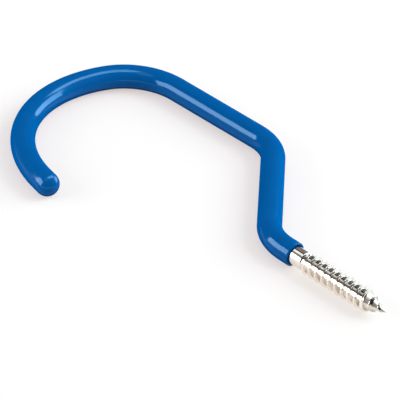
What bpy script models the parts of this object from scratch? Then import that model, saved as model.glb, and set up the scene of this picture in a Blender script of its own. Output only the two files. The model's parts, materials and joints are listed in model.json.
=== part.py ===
"""Bicycle storage hook: one bent steel rod with a wood-screw thread, and the vinyl sleeve dipped over it.

The hook lies flat, as it would come to rest. The screw's axis runs along X with its point at +X, the bends
lie in the horizontal plane, and the sleeve's underside is at Z = 0. Sizes are in metres.
"""

import math

import bmesh
import bpy
from mathutils import Matrix, Vector

# Rod and sleeve
ROD_DIAMETER = 0.0074
SLEEVE_WALL = 0.00085
SLEEVE_GAP = 0.0003
SLEEVE_EDGE_CHAMFER = 0.0003

# Centreline, from the sleeve's open end to the hook's tip
SHOULDER_STRAIGHT = 0.0050
OFFSET_BEND_RADIUS = 0.0205
SHOULDER_BEND_ANGLE = math.radians(47)
OFFSET_STRAIGHT = 0.0465
BACK_BEND_ANGLE = math.radians(48.5)
BACK_STRAIGHT = 0.0440
CORNER_RADIUS = 0.0255
CORNER_ANGLE = math.radians(67.5)
HOOK_RADIUS = 0.0530
HOOK_ANGLE = math.radians(99)
TIP_STRAIGHT = 0.0042

# Screw, measured from the sleeve's open end
SCREW_LENGTH = 0.0470
PLAIN_SHANK_LENGTH = 0.0055
SHANK_TAPER_LENGTH = 0.0006
POINT_LENGTH = 0.0093
THREAD_MAJOR_DIAMETER = 0.0089
THREAD_ROOT_DIAMETER = 0.0068
THREAD_PITCH = 0.00335
THREAD_ROOT_WIDTH = 0.0019
THREAD_CREST_WIDTH = 0.0003
THREAD_RUN_IN = 0.0064
THREAD_TURN_ANGLE = math.radians(330)

# Facets
BEND_STEP = math.radians(6)
ROD_BEVEL_RESOLUTION = 8
SLEEVE_BEVEL_RESOLUTION = 10
DOME_STEPS = 5
THREAD_STEPS = 24
OVERLAP = 0.0002
WELD_DISTANCE = 0.000001

# Finishes, as linear colours
VINYL_BLUE = (0.005, 0.110, 0.370, 1.0)
ZINC_PLATE = (0.72, 0.71, 0.68, 1.0)

# Sizes that follow from those above
ROD_RADIUS = ROD_DIAMETER / 2
BORE_RADIUS = ROD_RADIUS + SLEEVE_GAP
SLEEVE_RADIUS = BORE_RADIUS + SLEEVE_WALL
THREAD_ROOT_RADIUS = THREAD_ROOT_DIAMETER / 2
THREAD_DEPTH = (THREAD_MAJOR_DIAMETER - THREAD_ROOT_DIAMETER) / 2
THREAD_START = PLAIN_SHANK_LENGTH - THREAD_PITCH


def clear_scene():
    """Remove every object of the scene."""
    for obj in list(bpy.data.objects):
        bpy.data.objects.remove(obj, do_unlink=True)


def new_collection(name):
    """A collection of its own, linked to the scene."""
    collection = bpy.data.collections.new(name)
    bpy.context.scene.collection.children.link(collection)
    return collection


def new_material(name, color, roughness, metallic):
    """A plain Principled material."""
    material = bpy.data.materials.new(name)
    material.use_nodes = True
    shader = material.node_tree.nodes["Principled BSDF"]
    shader.inputs["Base Color"].default_value = color
    shader.inputs["Roughness"].default_value = roughness
    shader.inputs["Metallic"].default_value = metallic
    material.diffuse_color = color
    return material


def ahead(heading):
    """Unit vector of a heading in the horizontal plane."""
    return Vector((math.cos(heading), math.sin(heading), 0.0))


def run_straight(points, heading, length):
    """Carry the path straight on, and return its heading."""
    points.append(points[-1] + length * ahead(heading))
    return heading


def run_bend(points, heading, radius, angle):
    """Carry the path round a bend, to the left for a positive angle, and return its new heading."""
    side = math.copysign(math.pi / 2, angle)
    centre = points[-1] + radius * ahead(heading + side)
    steps = max(2, math.ceil(abs(angle) / BEND_STEP))
    for step in range(1, steps + 1):
        points.append(centre - radius * ahead(heading + angle * step / steps + side))
    return heading + angle


def bend_path():
    """Centreline of the covered rod, from the sleeve's open end at the origin to the hook's tip."""
    points = [Vector((0.0, 0.0, 0.0))]
    heading = run_straight(points, math.pi, SHOULDER_STRAIGHT)
    heading = run_bend(points, heading, OFFSET_BEND_RADIUS, -SHOULDER_BEND_ANGLE)
    heading = run_straight(points, heading, OFFSET_STRAIGHT)
    heading = run_bend(points, heading, OFFSET_BEND_RADIUS, BACK_BEND_ANGLE)
    heading = run_straight(points, heading, BACK_STRAIGHT)
    heading = run_bend(points, heading, CORNER_RADIUS, CORNER_ANGLE)
    heading = run_bend(points, heading, HOOK_RADIUS, HOOK_ANGLE)
    run_straight(points, heading, TIP_STRAIGHT)
    return points


def beyond_start(path, distance):
    """A point on the screw's axis, this far out of the sleeve's open end."""
    return path[0] + distance * (path[0] - path[1]).normalized()


def beyond_tip(path, distance):
    """A point straight on from the hook's tip."""
    return path[-1] + distance * (path[-1] - path[-2]).normalized()


def rest_place(path):
    """Where the sleeve's open end lies, with the hook's box centred over the origin and its underside at 0."""
    low_x = min(point.x for point in path) - SLEEVE_RADIUS
    low_y = min(point.y for point in path) - SLEEVE_RADIUS
    high_y = max(point.y for point in path) + SLEEVE_RADIUS
    return Vector((-(low_x + SCREW_LENGTH) / 2, -(low_y + high_y) / 2, SLEEVE_RADIUS))


def weld(mesh):
    """Join points that lie on each other, and face every side outwards."""
    work = bmesh.new()
    work.from_mesh(mesh)
    bmesh.ops.remove_doubles(work, verts=work.verts, dist=WELD_DISTANCE)
    bmesh.ops.recalc_face_normals(work, faces=work.faces)
    work.to_mesh(mesh)
    work.free()


def as_mesh(guide, name):
    """The welded mesh of a curve or of an object with modifiers, which is then removed."""
    bpy.context.view_layer.update()
    graph = bpy.context.evaluated_depsgraph_get()
    mesh = bpy.data.meshes.new_from_object(guide.evaluated_get(graph))
    mesh.name = name
    weld(mesh)
    bpy.data.objects.remove(guide)
    return mesh


def tube(name, points, radii, bevel_resolution, place, collection):
    """A round bar along the points, as one closed mesh. Each point has its own radius."""
    curve = bpy.data.curves.new(name, "CURVE")
    curve.dimensions = "3D"
    curve.twist_mode = "Z_UP"
    curve.bevel_depth = max(radii)
    curve.bevel_resolution = bevel_resolution
    curve.use_fill_caps = True
    spline = curve.splines.new("POLY")
    spline.points.add(len(points) - 1)
    for spline_point, point, radius in zip(spline.points, points, radii):
        spline_point.co = (*point, 1.0)
        spline_point.radius = radius / curve.bevel_depth
    guide = bpy.data.objects.new(name + "_guide", curve)
    guide.location = place
    collection.objects.link(guide)
    bpy.context.view_layer.update()
    placed = guide.matrix_world.copy()
    obj = bpy.data.objects.new(name, as_mesh(guide, name))
    obj.matrix_world = placed
    collection.objects.link(obj)
    return obj


def add_boolean(obj, helper, operation):
    """Cut or join with a helper, which the render leaves out."""
    modifier = obj.modifiers.new(helper.name, "BOOLEAN")
    modifier.operation = operation
    modifier.solver = "EXACT"
    modifier.object = helper
    helper.hide_render = True
    helper.display_type = "WIRE"


def thread_profile():
    """One pitch of the thread's outline, from the top down, at +X of the turning axis."""
    flank = (THREAD_PITCH - THREAD_ROOT_WIDTH - THREAD_CREST_WIDTH) / 2
    crest_radius = THREAD_ROOT_RADIUS + THREAD_DEPTH
    outline = [
        (THREAD_ROOT_RADIUS, THREAD_PITCH),
        (crest_radius, THREAD_PITCH - flank),
        (crest_radius, THREAD_ROOT_WIDTH + flank),
        (THREAD_ROOT_RADIUS, THREAD_ROOT_WIDTH),
        (THREAD_ROOT_RADIUS, 0.0),
    ]
    lowest = THREAD_START - THREAD_PITCH
    points = [(radius, 0.0, lowest + height) for radius, height in outline]
    profile = bpy.data.meshes.new("thread_profile")
    profile.from_pydata(points, [(i, i + 1) for i in range(len(points) - 1)], [])
    return profile


def thread_radius(height, crest_share):
    """Radius of root, flank or crest at a height, run in from the shank and drawn down to the point."""
    run_in = min(1.0, (height - THREAD_START) / THREAD_RUN_IN)
    taper = min(1.0, (SCREW_LENGTH - height) / POINT_LENGTH)
    return (THREAD_ROOT_RADIUS + crest_share * run_in * THREAD_DEPTH) * taper


def thread_body(place, collection):
    """Root and thread of the screw as one closed body along X, its blunt end buried in the shank.

    The Screw modifier turns one pitch of the outline into a ribbon. Its two open ends are drawn onto the
    axis, at the buried start and at the point, where they close.
    """
    helix = bpy.data.objects.new("thread_helix", thread_profile())
    collection.objects.link(helix)
    screw = helix.modifiers.new("helix", "SCREW")
    screw.axis = "Z"
    screw.angle = 2 * math.pi
    screw.screw_offset = THREAD_PITCH
    screw.iterations = math.ceil((SCREW_LENGTH - THREAD_START) / THREAD_PITCH) + 2
    screw.steps = THREAD_STEPS
    screw.render_steps = THREAD_STEPS
    screw.use_merge_vertices = False
    mesh = as_mesh(helix, "thread_body")
    for vertex in mesh.vertices:
        outward = Vector((vertex.co.x, vertex.co.y, 0.0))
        crest_share = (outward.length - THREAD_ROOT_RADIUS) / THREAD_DEPTH
        height = min(SCREW_LENGTH, max(THREAD_START, vertex.co.z))
        radius = thread_radius(height, crest_share) if vertex.co.z > THREAD_START else 0.0
        vertex.co = radius * outward.normalized() + Vector((0.0, 0.0, height))
    weld(mesh)
    body = bpy.data.objects.new("thread_body", mesh)
    along_x = Matrix.Rotation(math.pi / 2, 4, "Y") @ Matrix.Rotation(THREAD_TURN_ANGLE, 4, "Z")
    body.matrix_world = Matrix.Translation(place) @ along_x
    collection.objects.link(body)
    return body


def steel_rod(path, place, parts, helpers):
    """The bent rod with its screw, one piece of steel."""
    shank_end = beyond_start(path, PLAIN_SHANK_LENGTH)
    taper_end = beyond_start(path, PLAIN_SHANK_LENGTH + SHANK_TAPER_LENGTH)
    points = [taper_end, shank_end] + path[1:]
    radii = [THREAD_ROOT_RADIUS - OVERLAP] + [ROD_RADIUS] * (len(points) - 1)
    rod = tube("steel_rod", points, radii, ROD_BEVEL_RESOLUTION, place, parts)
    add_boolean(rod, thread_body(place, helpers), "UNION")
    rod.data.materials.append(new_material("zinc_plated_steel", ZINC_PLATE, 0.28, 1.0))
    return rod


def vinyl_sleeve(path, place, parts, helpers):
    """The dipped sleeve: a tube cut square at the screw, closed by a round end at the hook's tip."""
    points = [path[0], beyond_start(path, -SLEEVE_EDGE_CHAMFER)] + path[1:]
    radii = [SLEEVE_RADIUS - SLEEVE_EDGE_CHAMFER] + [SLEEVE_RADIUS] * (len(points) - 1)
    for step in range(1, DOME_STEPS + 1):
        angle = math.pi / 2 * step / DOME_STEPS
        points.append(beyond_tip(path, SLEEVE_RADIUS * math.sin(angle)))
        radii.append(SLEEVE_RADIUS * math.cos(angle))
    sleeve = tube("vinyl_sleeve", points, radii, SLEEVE_BEVEL_RESOLUTION, place, parts)
    inside = [beyond_start(path, OVERLAP)] + path[1:-1] + [beyond_tip(path, SLEEVE_GAP)]
    bore = tube("sleeve_bore", inside, [BORE_RADIUS] * len(inside), ROD_BEVEL_RESOLUTION, place, helpers)
    add_boolean(sleeve, bore, "DIFFERENCE")
    sleeve.data.materials.append(new_material("blue_vinyl", VINYL_BLUE, 0.22, 0.0))
    return sleeve


def main():
    """Model the hook's two pieces."""
    clear_scene()
    parts = new_collection("bicycle_storage_hook")
    helpers = new_collection("cutters")
    path = bend_path()
    place = rest_place(path)
    for piece in (steel_rod(path, place, parts, helpers), vinyl_sleeve(path, place, parts, helpers)):
        piece.data.shade_smooth()
        piece.data.set_sharp_from_angle(angle=math.radians(35))


main()
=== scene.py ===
"""Bicycle storage hook, dressed for a studio picture.

The hook lies on a white table. Its vinyl sleeve and its steel rod are modelled here with fine surfaces,
in the place of the two solids of the frame. Soft boxes and cards in a room of dark cloth light them.
Sizes are in metres.
"""

import json
import logging
import math
from collections.abc import Iterable
from dataclasses import dataclass
from enum import Enum

import bmesh
import bpy
from mathutils import Matrix, Vector


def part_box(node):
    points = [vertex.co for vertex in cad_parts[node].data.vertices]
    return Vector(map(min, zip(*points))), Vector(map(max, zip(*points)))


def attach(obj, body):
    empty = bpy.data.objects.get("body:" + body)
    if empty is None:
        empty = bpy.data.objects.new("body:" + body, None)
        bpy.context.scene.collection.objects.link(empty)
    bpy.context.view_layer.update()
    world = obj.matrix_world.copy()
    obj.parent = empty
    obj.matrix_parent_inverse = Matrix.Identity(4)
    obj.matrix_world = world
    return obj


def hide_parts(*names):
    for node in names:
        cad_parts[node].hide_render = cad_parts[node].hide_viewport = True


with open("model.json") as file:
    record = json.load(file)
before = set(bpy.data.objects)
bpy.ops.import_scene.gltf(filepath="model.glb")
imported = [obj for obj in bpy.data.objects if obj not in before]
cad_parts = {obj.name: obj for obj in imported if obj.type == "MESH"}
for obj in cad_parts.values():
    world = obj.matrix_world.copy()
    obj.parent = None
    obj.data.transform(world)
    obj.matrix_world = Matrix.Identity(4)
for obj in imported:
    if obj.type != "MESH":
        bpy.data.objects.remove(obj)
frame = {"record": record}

BODY = "root"
LOG = logging.getLogger("bicycle_storage_hook")

# The bare rod, and the gap that stands in for the bond between it and the vinyl.
ROD_RADIUS = 0.0037
BOND_GAP = 0.0003

Colour = tuple[float, float, float, float]
LampColour = tuple[float, float, float]
Feed = bpy.types.NodeSocket | float | LampColour | Colour

WHITE: LampColour = (1.0, 1.0, 1.0)


def held(value: float) -> float:
    """The value, held between 0 and 1."""
    return min(1.0, max(0.0, value))


def eased(share: float) -> float:
    """A share from 0 to 1 with soft ends, so that a flank meets its root and its crest without a crease."""
    return share * share * (3.0 - 2.0 * share)


@dataclass(frozen=True)
class Station:
    """One cross-section of the bar: its centre, and the bar's heading there in the level plane."""

    centre: Vector
    heading: float

    @property
    def ahead(self) -> Vector:
        """Unit vector along the bar."""
        return Vector((math.cos(self.heading), math.sin(self.heading), 0.0))

    @property
    def left(self) -> Vector:
        """Unit vector to the bar's left, level with the table."""
        return Vector((-math.sin(self.heading), math.cos(self.heading), 0.0))

    def moved(self, distance: float) -> "Station":
        """A station this far ahead, on the same heading."""
        return Station(self.centre + distance * self.ahead, self.heading)

    def rim_point(self, radius: float, angle: float) -> Vector:
        """A point of the bar's skin, at an angle that starts on the left and rises over the top."""
        return self.centre + radius * (math.cos(angle) * self.left + Vector((0.0, 0.0, math.sin(angle))))

    def ring(self, radius: float, sides: int) -> list[Vector]:
        """A round ring of points about the centre."""
        return [self.rim_point(radius, math.tau * side / sides) for side in range(sides)]


class Turn(Enum):
    """Which way a bend turns, seen from above on the way to the hook's tip."""

    LEFT = 1
    RIGHT = -1


@dataclass(frozen=True)
class HookLine:
    """The centreline of the covered rod, from the sleeve's open end to the hook's tip."""

    start: Vector
    shoulder_straight: float = 0.0050
    offset_bend_radius: float = 0.0205
    shoulder_bend_angle: float = math.radians(47)
    offset_straight: float = 0.0465
    back_bend_angle: float = math.radians(48.5)
    back_straight: float = 0.0440
    corner_radius: float = 0.0255
    corner_angle: float = math.radians(67.5)
    hook_radius: float = 0.0530
    hook_angle: float = math.radians(99)
    tip_straight: float = 0.0042
    straight_step: float = 0.0025
    bend_step: float = math.radians(2)

    def stations(self) -> list[Station]:
        """Cross-sections along the whole line.

        Returns:
            The stations in order, close enough together for every bend to look round.
        """
        line = [Station(self.start, math.pi)]
        self._run(line, self.shoulder_straight)
        self._bend(line, self.offset_bend_radius, self.shoulder_bend_angle, Turn.RIGHT)
        self._run(line, self.offset_straight)
        self._bend(line, self.offset_bend_radius, self.back_bend_angle, Turn.LEFT)
        self._run(line, self.back_straight)
        self._bend(line, self.corner_radius, self.corner_angle, Turn.LEFT)
        self._bend(line, self.hook_radius, self.hook_angle, Turn.LEFT)
        self._run(line, self.tip_straight)
        return line

    def _run(self, line: list[Station], length: float) -> None:
        """Carry the line straight on.

        Args:
            line: The stations so far, to which new ones are added.
            length: How far the straight run goes.
        """
        last = line[-1]
        steps = math.ceil(length / self.straight_step)
        line.extend(last.moved(length * step / steps) for step in range(1, steps + 1))

    def _bend(self, line: list[Station], radius: float, angle: float, turn: Turn) -> None:
        """Carry the line round a bend.

        Args:
            line: The stations so far, to which new ones are added.
            radius: The bend's radius at the bar's centre.
            angle: How far the bar turns.
            turn: The side that it turns to.
        """
        last = line[-1]
        inward = turn.value * last.left
        pivot = last.centre + radius * inward
        steps = math.ceil(angle / self.bend_step)
        for step in range(1, steps + 1):
            turned = turn.value * angle * step / steps
            centre = pivot - radius * (Matrix.Rotation(turned, 3, "Z") @ inward)
            line.append(Station(centre, last.heading + turned))


def stood(name: str, data: bpy.types.ID) -> bpy.types.Object:
    """Stand a mesh, a lamp or a lens in the scene.

    Args:
        name: The new object's name.
        data: What it is made of.

    Returns:
        The object.
    """
    added = bpy.data.objects.new(name, data)
    bpy.context.scene.collection.objects.link(added)
    return added


def closed_skin(name: str, first: Vector, rings: Iterable[list[Vector]], last: Vector) -> bpy.types.Object:
    """Stitch rings of points into one closed, smooth surface.

    Args:
        name: The new object's name.
        first: The point that the first ring closes on.
        rings: Rings with the same number of points each, in order along the surface.
        last: The point that the last ring closes on.

    Returns:
        The object.
    """
    work = bmesh.new()
    loops = [[work.verts.new(point) for point in ring] for ring in rings]
    sides = len(loops[0])
    start, end = work.verts.new(first), work.verts.new(last)
    for side in range(sides):
        following = (side + 1) % sides
        work.faces.new((start, loops[0][following], loops[0][side]))
        work.faces.new((end, loops[-1][side], loops[-1][following]))
        for behind, ahead in zip(loops, loops[1:]):
            work.faces.new((behind[side], behind[following], ahead[following], ahead[side]))
    mesh = bpy.data.meshes.new(name)
    work.to_mesh(mesh)
    work.free()
    mesh.shade_smooth()
    return stood(name, mesh)


def seat(piece: bpy.types.Object, node: str, material: bpy.types.Material) -> None:
    """Put a finished piece in the place of its solid.

    Args:
        piece: The piece, already where it belongs.
        node: The frame's node that it stands for.
        material: Its material.
    """
    piece.data.materials.append(material)
    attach(piece, BODY)
    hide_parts(node)
    LOG.info("%s: %d faces, dressed in %s", piece.name, len(piece.data.polygons), material.name)


class Graph:
    """A node tree, with short calls to add nodes and to join them."""

    def __init__(self, tree: bpy.types.NodeTree) -> None:
        """Take hold of a tree and empty it.

        Args:
            tree: The node tree of a material, a world or a group.
        """
        self.tree = tree
        tree.nodes.clear()

    def node(self, kind: str, settings: dict[str, object] | None = None, **inputs: Feed) -> bpy.types.Node:
        """Add a node.

        Args:
            kind: The node's type, such as ShaderNodeBump.
            settings: Values of the node's own properties.
            **inputs: Values or sockets for its inputs, by the input's name with _ for each space.

        Returns:
            The new node.
        """
        added = self.tree.nodes.new(kind)
        for name, value in (settings or {}).items():
            setattr(added, name, value)
        for name, value in inputs.items():
            self.feed(added.inputs[name.replace("_", " ")], value)
        return added

    def result(
        self, kind: str, *operands: Feed, settings: dict[str, object] | None = None, **inputs: Feed
    ) -> bpy.types.NodeSocket:
        """Add a node and take its first output.

        Args:
            kind: The node's type.
            *operands: Values or sockets for its first inputs, in order.
            settings: Values of the node's own properties.
            **inputs: Values or sockets for inputs by name, as for a node.

        Returns:
            The output.
        """
        added = self.node(kind, settings, **inputs)
        for target, value in zip(added.inputs, operands):
            self.feed(target, value)
        return added.outputs[0]

    def feed(self, target: bpy.types.NodeSocket, value: Feed) -> None:
        """Give an input its value, or join it to another node's output.

        Args:
            target: The input.
            value: A plain value, or the output that feeds it.
        """
        if isinstance(value, bpy.types.NodeSocket):
            self.tree.links.new(value, target)
        else:
            target.default_value = value

    def maths(self, operation: str, *operands: Feed) -> bpy.types.NodeSocket:
        """The result of a Math node with this operation, such as MULTIPLY, on these operands."""
        return self.result("ShaderNodeMath", *operands, settings={"operation": operation})

    def ramp(
        self, value: Feed, start: float = 0.0, end: float = 1.0, low: float = 0.0, high: float = 1.0
    ) -> bpy.types.NodeSocket:
        """A value carried from one pair of limits over to another, and held between them.

        Args:
            value: The value.
            start: The value at which the result is the low one.
            end: The value at which the result is the high one.
            low: The result at the start.
            high: The result at the end.

        Returns:
            The result.
        """
        return self.result(
            "ShaderNodeMapRange", Value=value, From_Min=start, From_Max=end, To_Min=low, To_Max=high
        )

    def blend(self, share: Feed, low: Feed, high: Feed) -> bpy.types.NodeSocket:
        """A colour between two others.

        Args:
            share: How much of the second colour shows, from 0 to 1.
            low: The first colour.
            high: The second colour.

        Returns:
            The mixed colour.
        """
        added = self.node("ShaderNodeMix", {"data_type": "RGBA"})
        self.feed(added.inputs["Factor"], share)
        colours = [socket for socket in added.inputs if socket.type == "RGBA"]
        for target, colour in zip(colours, (low, high)):
            self.feed(target, colour)
        return next(socket for socket in added.outputs if socket.type == "RGBA")


def new_material(name: str) -> tuple[bpy.types.Material, Graph]:
    """Make a material.

    Args:
        name: Its name.

    Returns:
        The material, and the graph of its nodes, which is still empty.
    """
    made = bpy.data.materials.new(name)
    made.use_nodes = True
    return made, Graph(made.node_tree)


@dataclass(frozen=True)
class GrainLayer:
    """One use of the grain: grains to the metre, finer layers, and how far its mask is sharpened."""

    scale: float
    detail: float
    contrast: float


class Grain:
    """The group for cloudy grain, which every finish places with its own values."""

    NAME = "grain"
    MIDDLE = 0.5

    def __init__(self) -> None:
        """Build the group: a position goes in, and a height and a sharpened mask come out."""
        self.group = bpy.data.node_groups.new(self.NAME, "ShaderNodeTree")
        sockets = self.group.interface
        sockets.new_socket(name="Position", in_out="INPUT", socket_type="NodeSocketVector")
        for name in ("Scale", "Detail", "Contrast"):
            sockets.new_socket(name=name, in_out="INPUT", socket_type="NodeSocketFloat")
        for name in ("Height", "Mask"):
            sockets.new_socket(name=name, in_out="OUTPUT", socket_type="NodeSocketFloat")
        graph = Graph(self.group)
        given = graph.node("NodeGroupInput").outputs
        noise = graph.node(
            "ShaderNodeTexNoise", Vector=given["Position"], Scale=given["Scale"], Detail=given["Detail"]
        ).outputs["Fac"]
        centred = graph.maths("SUBTRACT", noise, self.MIDDLE)
        sharpened = graph.maths("MULTIPLY_ADD", centred, given["Contrast"], self.MIDDLE)
        mask = graph.result("ShaderNodeClamp", Value=sharpened)
        graph.node("NodeGroupOutput", Height=noise, Mask=mask)

    def placed(
        self, graph: Graph, position: bpy.types.NodeSocket, layer: GrainLayer
    ) -> bpy.types.NodeOutputs:
        """Place the group in a material.

        Args:
            graph: The material's graph.
            position: The socket of the position that the grain follows.
            layer: How fine and how sharp it is there.

        Returns:
            The group's outputs, which are Height and Mask.
        """
        return graph.node(
            "ShaderNodeGroup",
            {"node_tree": self.group},
            Position=position,
            Scale=layer.scale,
            Detail=layer.detail,
            Contrast=layer.contrast,
        ).outputs


@dataclass(frozen=True)
class VinylFinish:
    """Smooth blue dipped vinyl: glossy, with the faint slow waves of a coat that ran before it set.

    Its gloss is a soft one that fades at a slant, and is less on the underside, which drained last.
    """

    deep: Colour = (0.0, 0.104, 0.362, 1.0)
    bright: Colour = (0.0, 0.115, 0.392, 1.0)
    specular_tint: Colour = (0.40, 0.76, 1.0, 1.0)
    gloss: float = 0.62
    fade_start: float = 0.44
    fade_end: float = 0.57
    underside_slant: float = 0.8
    underside_top: float = 0.25
    underside_bottom: float = 0.05
    underside_gloss: float = 0.15
    smoothest: float = 0.07
    dullest: float = 0.11
    waves: GrainLayer = GrainLayer(scale=130.0, detail=1.0, contrast=1.6)
    wave_height: float = 0.00006
    peel: GrainLayer = GrainLayer(scale=1500.0, detail=2.0, contrast=1.2)
    peel_height: float = 0.0000012

    def material(self, grain: Grain) -> bpy.types.Material:
        """Make the material.

        Args:
            grain: The shared group for cloudy grain.

        Returns:
            The material.
        """
        made, graph = new_material("blue_dipped_vinyl")
        coordinates = graph.node("ShaderNodeTexCoord").outputs
        wave = grain.placed(graph, coordinates["Object"], self.waves)
        peel = grain.placed(graph, coordinates["Object"], self.peel)
        run = graph.result("ShaderNodeBump", Height=wave["Height"], Distance=self.wave_height)
        skin = graph.result("ShaderNodeBump", Height=peel["Height"], Distance=self.peel_height, Normal=run)
        shader = graph.result(
            "ShaderNodeBsdfPrincipled",
            Base_Color=graph.blend(wave["Mask"], self.deep, self.bright),
            Roughness=graph.ramp(peel["Mask"], low=self.smoothest, high=self.dullest),
            Specular_IOR_Level=self._gloss(graph, coordinates["Normal"]),
            Specular_Tint=self.specular_tint,
            Normal=skin,
        )
        graph.node("ShaderNodeOutputMaterial", Surface=shader)
        return made

    def _gloss(self, graph: Graph, normal: bpy.types.NodeSocket) -> bpy.types.NodeSocket:
        """The gloss, which is full on what faces up and out, and fades at a slant and on the underside.

        Args:
            graph: The material's graph.
            normal: The socket of the surface's own direction.

        Returns:
            The specular level.
        """
        facing = graph.node("ShaderNodeLayerWeight").outputs["Facing"]
        faced = graph.ramp(facing, self.fade_start, self.fade_end, low=1.0, high=0.0)
        rise = graph.node("ShaderNodeSeparateXYZ", Vector=normal).outputs["Z"]
        lowered = graph.maths("SUBTRACT", rise, graph.maths("MULTIPLY", facing, self.underside_slant))
        upper = graph.ramp(lowered, self.underside_bottom, self.underside_top, low=self.underside_gloss)
        return graph.ramp(graph.maths("MULTIPLY", upper, faced), high=self.gloss)


@dataclass(frozen=True)
class ZincFinish:
    """Bright zinc plate: mirror-like on the rolled crests, with painted shade that darkens it down in the
    thread's root.
    """

    axis_y: float
    axis_z: float
    root_radius: float
    shade_free_radius: float
    plate: Colour = (0.97, 0.91, 0.84, 1.0)
    cloud: Colour = (0.88, 0.80, 0.70, 1.0)
    # Dark brown of the painted shade laid into the thread's root.
    root_shade: Colour = (0.30, 0.26, 0.21, 1.0)
    smoothest: float = 0.05
    dullest: float = 0.15
    clouding: GrainLayer = GrainLayer(scale=260.0, detail=3.0, contrast=2.2)
    rolling: GrainLayer = GrainLayer(scale=2600.0, detail=3.0, contrast=1.6)
    rolling_height: float = 0.000004
    rolling_stretch: tuple[float, float, float] = (1.0, 0.08, 0.08)

    def material(self, grain: Grain) -> bpy.types.Material:
        """Make the material.

        Args:
            grain: The shared group for cloudy grain.

        Returns:
            The material.
        """
        made, graph = new_material("bright_zinc_plate")
        position = graph.node("ShaderNodeTexCoord").outputs["Object"]
        stretched = graph.result(
            "ShaderNodeVectorMath", position, self.rolling_stretch, settings={"operation": "MULTIPLY"}
        )
        cloud = grain.placed(graph, position, self.clouding)
        rolled = grain.placed(graph, stretched, self.rolling)
        plated = graph.blend(cloud["Mask"], self.plate, self.cloud)
        # Painted shade: the thread's root is darkened towards a dark brown, in cloudy patches.
        painted_shade = graph.maths("MULTIPLY", self._depth_mask(graph, position), cloud["Mask"])
        shader = graph.result(
            "ShaderNodeBsdfPrincipled",
            Base_Color=graph.blend(painted_shade, plated, self.root_shade),
            Metallic=1.0,
            Roughness=graph.ramp(rolled["Mask"], low=self.smoothest, high=self.dullest),
            Normal=graph.result("ShaderNodeBump", Height=rolled["Height"], Distance=self.rolling_height),
        )
        graph.node("ShaderNodeOutputMaterial", Surface=shader)
        return made

    def _depth_mask(self, graph: Graph, position: bpy.types.NodeSocket) -> bpy.types.NodeSocket:
        """A mask for the painted shade: 1 in the thread's root and 0 from the shade-free radius outwards.

        Args:
            graph: The material's graph.
            position: The socket of the position on the rod.

        Returns:
            The mask.
        """
        place = graph.node("ShaderNodeSeparateXYZ", Vector=position).outputs
        across = graph.maths("SUBTRACT", place["Y"], self.axis_y)
        above = graph.maths("SUBTRACT", place["Z"], self.axis_z)
        squares = graph.maths("MULTIPLY_ADD", across, across, graph.maths("MULTIPLY", above, above))
        from_axis = graph.maths("SQRT", squares)
        return graph.ramp(from_axis, self.root_radius, self.shade_free_radius, low=1.0, high=0.0)


@dataclass
class VinylSleeve:
    """The dipped sleeve: cut square at the screw, closed by a round end at the hook's tip."""

    line: list[Station]
    radius: float
    bore_radius: float = ROD_RADIUS + BOND_GAP
    lip_radius: float = 0.0004
    lip_steps: int = 5
    dome_steps: int = 20
    sides: int = 72
    finish: VinylFinish = VinylFinish()

    def build(self) -> bpy.types.Object:
        """Model the sleeve with its bore, as one closed surface.

        Returns:
            The sleeve.
        """
        tip = self.line[-1]
        bottom = tip.moved(BOND_GAP)
        inwards = reversed([*self.line[:-1], bottom])
        bore = [station.ring(self.bore_radius, self.sides) for station in inwards]
        outside = [station.ring(self.radius, self.sides) for station in self.line[1:]]
        rings = bore + self._lip() + outside + self._dome(tip)
        return closed_skin("dipped_sleeve", bottom.centre, rings, tip.moved(self.radius).centre)

    def dress(self, piece: bpy.types.Object, grain: Grain) -> None:
        """Give the sleeve its vinyl and seat it."""
        seat(piece, "vinyl_sleeve", self.finish.material(grain))

    def _lip(self) -> list[list[Vector]]:
        """Carry the cut end's face from the bore over its rounded outer edge.

        Returns:
            The rings of the face and the edge.
        """
        mouth = self.line[0]
        rings = []
        for step in range(self.lip_steps + 1):
            angle = math.pi / 2 * step / self.lip_steps
            radius = self.radius - self.lip_radius * (1.0 - math.sin(angle))
            rings.append(mouth.moved(self.lip_radius * (1.0 - math.cos(angle))).ring(radius, self.sides))
        return rings

    def _dome(self, tip: Station) -> list[list[Vector]]:
        """Carry the outside over the round end.

        Args:
            tip: The last station of the line.

        Returns:
            The rings of the round end, without the end point.
        """
        angles = [math.pi / 2 * step / self.dome_steps for step in range(1, self.dome_steps)]
        return [
            tip.moved(self.radius * math.sin(angle)).ring(self.radius * math.cos(angle), self.sides)
            for angle in angles
        ]


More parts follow.
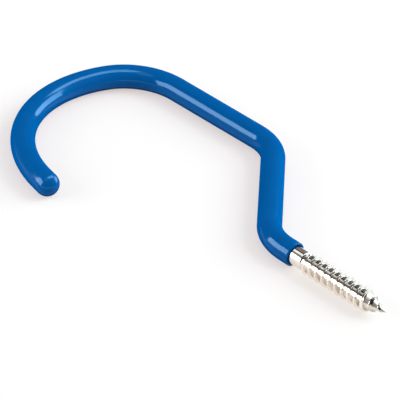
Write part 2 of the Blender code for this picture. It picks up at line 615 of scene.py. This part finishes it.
@dataclass
class ScrewThread:
    """The rolled wood-screw thread. Distances run from the sleeve's open end towards the point."""

    length: float
    shank_radius: float = ROD_RADIUS
    plain_shank: float = 0.0055
    shank_taper: float = 0.0006
    point_length: float = 0.0093
    root_radius: float = 0.0034
    crest_radius: float = 0.00445
    pitch: float = 0.00335
    root_width: float = 0.0019
    crest_width: float = 0.0003
    run_in: float = 0.0064
    first_crest: float = 0.001425
    start_angle: float = math.radians(240)

    def radius(self, distance: float, angle: float) -> float:
        """The screw's radius at a place on its skin.

        Args:
            distance: How far the place is from the sleeve's open end.
            angle: The place's angle about the axis, from +Y and rising over the top.

        Returns:
            The radius of shank, thread or point there, whichever stands out furthest.
        """
        return max(self._shank(distance), self._thread(distance, angle))

    def _shank(self, distance: float) -> float:
        """Radius of the plain shank, which ends in a short cone.

        Args:
            distance: How far the place is from the sleeve's open end.

        Returns:
            The radius, or 0 past the cone.
        """
        share = max(0.0, (distance - self.plain_shank) / self.shank_taper)
        if share >= 1.0:
            return 0.0
        return self.shank_radius - (self.shank_radius - self.root_radius) * share

    def _thread(self, distance: float, angle: float) -> float:
        """Radius of the thread's surface, run in from the shank and drawn down to the point.

        Args:
            distance: How far the place is from the sleeve's open end.
            angle: The place's angle about the axis.

        Returns:
            The radius.
        """
        turns = (distance - self.first_crest) / self.pitch - (angle - self.start_angle) / math.tau
        from_crest = abs(turns - round(turns)) * self.pitch
        flank = (self.pitch - self.root_width - self.crest_width) / 2
        height = 1.0 - eased(held((from_crest - self.crest_width / 2) / flank))
        hidden_start = self.plain_shank - self.pitch
        risen = held((distance - hidden_start) / self.run_in)
        taper = held((self.length - distance) / self.point_length)
        return (self.root_radius + height * risen * (self.crest_radius - self.root_radius)) * taper


@dataclass
class SteelRod:
    """The bent rod with its screw, one piece of steel."""

    line: list[Station]
    thread: ScrewThread
    radius: float = ROD_RADIUS
    sides: int = 96
    steps_per_pitch: int = 40

    def build(self) -> bpy.types.Object:
        """Model the rod from the screw's point to its end inside the sleeve, as one closed surface.

        Returns:
            The rod.
        """
        mouth, end = self.line[0], self.line[-1]
        step = self.thread.pitch / self.steps_per_pitch
        count = math.ceil(self.thread.length / step)
        distances = [self.thread.length * (1.0 - index / count) for index in range(1, count + 1)]
        rings = [self._screw_ring(mouth, distance) for distance in distances]
        rings += [station.ring(self.radius, self.sides) for station in self.line[1:]]
        return closed_skin("bent_rod", mouth.moved(-self.thread.length).centre, rings, end.centre)

    def dress(self, piece: bpy.types.Object, grain: Grain) -> None:
        """Give the rod its zinc plate and seat it.

        Args:
            piece: The rod.
            grain: The shared group for cloudy grain.
        """
        axis = self.line[0].centre
        finish = ZincFinish(
            axis_y=axis.y,
            axis_z=axis.z,
            root_radius=self.thread.root_radius,
            # The painted shade in the thread's root fades out at the shank's radius.
            shade_free_radius=self.thread.shank_radius,
        )
        seat(piece, "steel_rod", finish.material(grain))

    def _screw_ring(self, mouth: Station, distance: float) -> list[Vector]:
        """One ring of the screw's skin.

        Args:
            mouth: The station at the sleeve's open end.
            distance: How far the ring is from it, towards the point.

        Returns:
            The ring's points.
        """
        station = mouth.moved(-distance)
        angles = [math.tau * side / self.sides for side in range(self.sides)]
        return [
            station.rim_point(self.thread.radius(distance, math.pi - angle), angle) for angle in angles
        ]


def seen(graph: Graph) -> bpy.types.NodeSocket:
    """1 where the camera, a reflection or a view through glass looks, and 0 for light that only falls.

    Args:
        graph: The graph of the stage's material or world.

    Returns:
        The socket with that value.
    """
    path = graph.node("ShaderNodeLightPath").outputs
    mirrored = graph.maths("MAXIMUM", path["Is Glossy Ray"], path["Is Transmission Ray"])
    return graph.maths("MAXIMUM", path["Is Camera Ray"], mirrored)


@dataclass(frozen=True)
class WhiteTable:
    """The table: pale and plain, white to the camera and in reflections, with the hook's soft shadow on it.

    The light that falls on it makes a part of its white. The lift adds the rest in a warmer tone, so that
    the shadow is warm too.
    """

    half_width: float = 6.0
    colour: Colour = (0.40, 0.458, 0.490, 1.0)
    lift: float = 0.585
    lift_colour: Colour = (1.0, 0.876, 0.812, 1.0)

    def build(self) -> None:
        """Model the table's top."""
        corners = [(-1, -1), (1, -1), (1, 1), (-1, 1)]
        points = [(self.half_width * x, self.half_width * y, 0.0) for x, y in corners]
        mesh = bpy.data.meshes.new("table")
        mesh.from_pydata(points, [], [tuple(range(len(points)))])
        mesh.materials.append(self._material())
        stood("table", mesh)

    def _material(self) -> bpy.types.Material:
        """Make the table's matt white, lifted where it is seen.

        Returns:
            The material.
        """
        made, graph = new_material("table_white")
        matt = graph.result("ShaderNodeBsdfDiffuse", Color=self.colour)
        strength = graph.maths("MULTIPLY", seen(graph), self.lift)
        lifted = graph.result("ShaderNodeEmission", Color=self.lift_colour, Strength=strength)
        graph.node("ShaderNodeOutputMaterial", Surface=graph.result("ShaderNodeAddShader", matt, lifted))
        return made


class Reach(Enum):
    """What a thing in the studio gives the hook, with the sights that it is hidden from for that."""

    LIGHT = ("visible_camera", "visible_glossy")
    REFLECTION = ("visible_camera", "visible_diffuse")
    DARK = (
        "visible_camera",
        "visible_diffuse",
        "visible_transmission",
        "visible_shadow",
        "visible_volume_scatter",
    )

    def limit(self, thing: bpy.types.Object) -> None:
        """Hide a thing from these sights."""
        for sight in self.value:
            setattr(thing, sight, False)


@dataclass(frozen=True)
class Room:
    """The studio round the table: an even fill, and dark cloth all round that only reflections show."""

    fill: Colour = (0.97, 0.99, 1.0, 1.0)
    fill_strength: float = 0.48
    backdrop: Colour = (1.0, 1.0, 1.0, 1.0)
    cloth: Colour = (0.030, 0.034, 0.036, 1.0)
    cloth_radius: float = 3.0
    cloth_hem: float = -0.03
    segments: int = 48

    def build(self) -> None:
        """Light the world and hang the cloth."""
        world = bpy.data.worlds.new("studio")
        bpy.context.scene.world = world
        world.use_nodes = True
        graph = Graph(world.node_tree)
        dim = graph.result("ShaderNodeBackground", Color=self.fill, Strength=self.fill_strength)
        white = graph.result("ShaderNodeBackground", Color=self.backdrop)
        chosen = graph.result("ShaderNodeMixShader", seen(graph), dim, white)
        graph.node("ShaderNodeOutputWorld", Surface=chosen)
        self._hang_cloth()

    def _hang_cloth(self) -> None:
        """Hang dark cloth in a dome round the table, unseen by the camera and without a shadow."""
        work = bmesh.new()
        bmesh.ops.create_uvsphere(
            work, u_segments=self.segments, v_segments=self.segments // 2, radius=self.cloth_radius
        )
        below = [vertex for vertex in work.verts if vertex.co.z < self.cloth_hem]
        bmesh.ops.delete(work, geom=below, context="VERTS")
        mesh = bpy.data.meshes.new("dark_cloth")
        work.to_mesh(mesh)
        work.free()
        material, graph = new_material("dark_cloth")
        dark = graph.result("ShaderNodeEmission", Color=self.cloth)
        graph.node("ShaderNodeOutputMaterial", Surface=dark)
        mesh.materials.append(material)
        cloth = stood("dark_cloth", mesh)
        Reach.DARK.limit(cloth)


def looking_in(azimuth: float, elevation: float, roll: float, distance: float, target: Vector) -> Matrix:
    """The place of a lamp or a camera that looks at a point. Angles are in degrees.

    Args:
        azimuth: The direction that it stands in, from +X towards +Y.
        elevation: How far above the level it stands.
        roll: How far it is turned about its line of sight.
        distance: How far from the point it stands.
        target: The point.

    Returns:
        Its world matrix.
    """
    turned, raised = math.radians(azimuth), math.radians(elevation)
    level = math.cos(raised)
    towards = Vector((math.cos(turned) * level, math.sin(turned) * level, math.sin(raised)))
    place = Matrix.Translation(target + distance * towards)
    aim = towards.to_track_quat("Z", "Y").to_matrix().to_4x4()
    return place @ aim @ Matrix.Rotation(math.radians(roll), 4, "Z")


@dataclass(frozen=True)
class SoftBox:
    """A soft box or card: a flat bright face that looks at the middle of the table. Angles are in degrees.

    Its light and its reflection have a brightness each, where 1 is white, and the reflection has a tone. A
    flagged box is shaded from the vinyl, so that only the metal mirrors it.
    """

    name: str
    azimuth: float
    elevation: float
    distance: float
    width: float
    height: float
    roll: float = 0.0
    light: float = 0.0
    reflection: float = 0.0
    tone: LampColour = WHITE
    flagged: bool = False
    depth: float = 0.02

    def build(self, metal: bpy.types.Collection) -> None:
        """Stand the box in its place: its reflecting face, and its light a little behind it.

        Args:
            metal: The pieces that a flagged box shows in.
        """
        if self.reflection:
            face = self._stand(Reach.REFLECTION, self.distance, self.reflection, self.tone)
            if self.flagged:
                face.light_linking.receiver_collection = metal
        if self.light:
            self._stand(Reach.LIGHT, self.distance + self.depth, self.light, WHITE)
        LOG.info("%s stands at %g degrees, %g up", self.name, self.azimuth, self.elevation)

    def _stand(
        self, reach: Reach, distance: float, brightness: float, tone: LampColour
    ) -> bpy.types.Object:
        """Stand one lamp in the box's place.

        Args:
            reach: What the lamp does.
            distance: How far from the hook its face is.
            brightness: How bright its face is, where 1 is white.
            tone: The colour of its face.

        Returns:
            The lamp.
        """
        light = bpy.data.lights.new(self.name, "AREA")
        light.shape = "RECTANGLE"
        light.size = self.width
        light.size_y = self.height
        light.color = tone
        light.energy = brightness * math.pi * self.width * self.height
        lamp = stood(f"{self.name}_{reach.name.lower()}", light)
        lamp.matrix_world = looking_in(self.azimuth, self.elevation, self.roll, distance, Vector())
        reach.limit(lamp)
        return lamp


@dataclass(frozen=True)
class PhotoCamera:
    """The camera, at the photograph's viewing angle.

    Angles are in degrees, and the lens and its sensor in millimetres.
    """

    target: tuple[float, float, float] = (-0.00047, -0.00518, 0.00485)
    azimuth: float = -47.7
    elevation: float = 33.2
    roll: float = 6.0
    distance: float = 1.429
    focal_length: float = 337.0
    sensor_width: float = 36.0

    def build(self) -> None:
        """Place the camera and make it the scene's."""
        lens = bpy.data.cameras.new("photo_camera")
        lens.lens = self.focal_length
        lens.sensor_width = self.sensor_width
        camera = stood("photo_camera", lens)
        camera.matrix_world = looking_in(
            self.azimuth, self.elevation, self.roll, self.distance, Vector(self.target)
        )
        bpy.context.scene.camera = camera


SOFT_BOXES = (
    SoftBox(
        "left_box", azimuth=-123.9, elevation=18.4, distance=0.669, width=0.573, height=0.445, roll=4.6,
        light=3.2, reflection=5.3, tone=(1.06, 1.00, 1.06),
    ),
    SoftBox(
        "rear_box", azimuth=77.5, elevation=13.5, distance=0.687, width=0.460, height=0.480, roll=-20.0,
        light=3.4, reflection=4.2, tone=(0.62, 1.00, 1.30),
    ),
    SoftBox(
        "overhead_box", azimuth=86.0, elevation=66.0, distance=0.698, width=0.266, height=0.700, roll=4.0,
        light=0.4, reflection=4.0, tone=(0.78, 1.00, 1.08),
    ),
    SoftBox(
        "key_box", azimuth=50.0, elevation=38.0, distance=1.20, width=0.90, height=0.90,
        light=4.0, reflection=1.2, flagged=True,
    ),
    SoftBox(
        "back_card", azimuth=135.0, elevation=32.0, distance=1.00, width=0.80, height=0.80,
        reflection=0.17, flagged=True,
    ),
    SoftBox(
        "pale_card", azimuth=188.0, elevation=57.5, distance=1.60, width=0.62, height=0.22,
        reflection=1.1, flagged=True,
    ),
    SoftBox(
        "side_card", azimuth=-145.0, elevation=45.0, distance=1.60, width=0.50, height=0.50,
        reflection=0.22, flagged=True,
    ),
    SoftBox(
        "ceiling_card", azimuth=-85.0, elevation=74.0, distance=1.60, width=0.60, height=0.90,
        reflection=0.7,
    ),
    SoftBox(
        "front_card", azimuth=-82.0, elevation=30.0, distance=1.60, width=0.60, height=1.40,
        reflection=0.36, flagged=True,
    ),
)


def mount_place(name: str) -> Vector:
    """Find where a mount of the record is.

    Args:
        name: The mount's name.

    Returns:
        Its place.
    """
    mount = next(mount for mount in frame["record"]["mounts"] if mount["name"] == name)
    return Vector(mount["pos_m"])


def main() -> None:
    """Build the hook and its studio, in order."""
    logging.basicConfig(level=logging.INFO, format="%(name)s: %(message)s")
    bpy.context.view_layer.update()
    grain = Grain()

    mouth = mount_place("wood_screw")
    line = HookLine(mouth).stations()

    sleeve_low, sleeve_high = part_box("vinyl_sleeve")
    sleeve = VinylSleeve(line, radius=(sleeve_high.z - sleeve_low.z) / 2)
    sleeve.dress(sleeve.build(), grain)

    rod_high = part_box("steel_rod")[1]
    rod = SteelRod(line, ScrewThread(length=rod_high.x - mouth.x))
    bent_rod = rod.build()
    rod.dress(bent_rod, grain)
    metal = bpy.data.collections.new("metal")
    metal.objects.link(bent_rod)

    WhiteTable().build()
    Room().build()
    for box in SOFT_BOXES:
        box.build(metal)
    PhotoCamera().build()

    bpy.context.scene.view_settings.view_transform = "Standard"
    bpy.context.view_layer.update()


if __name__ == "__main__":
    main()
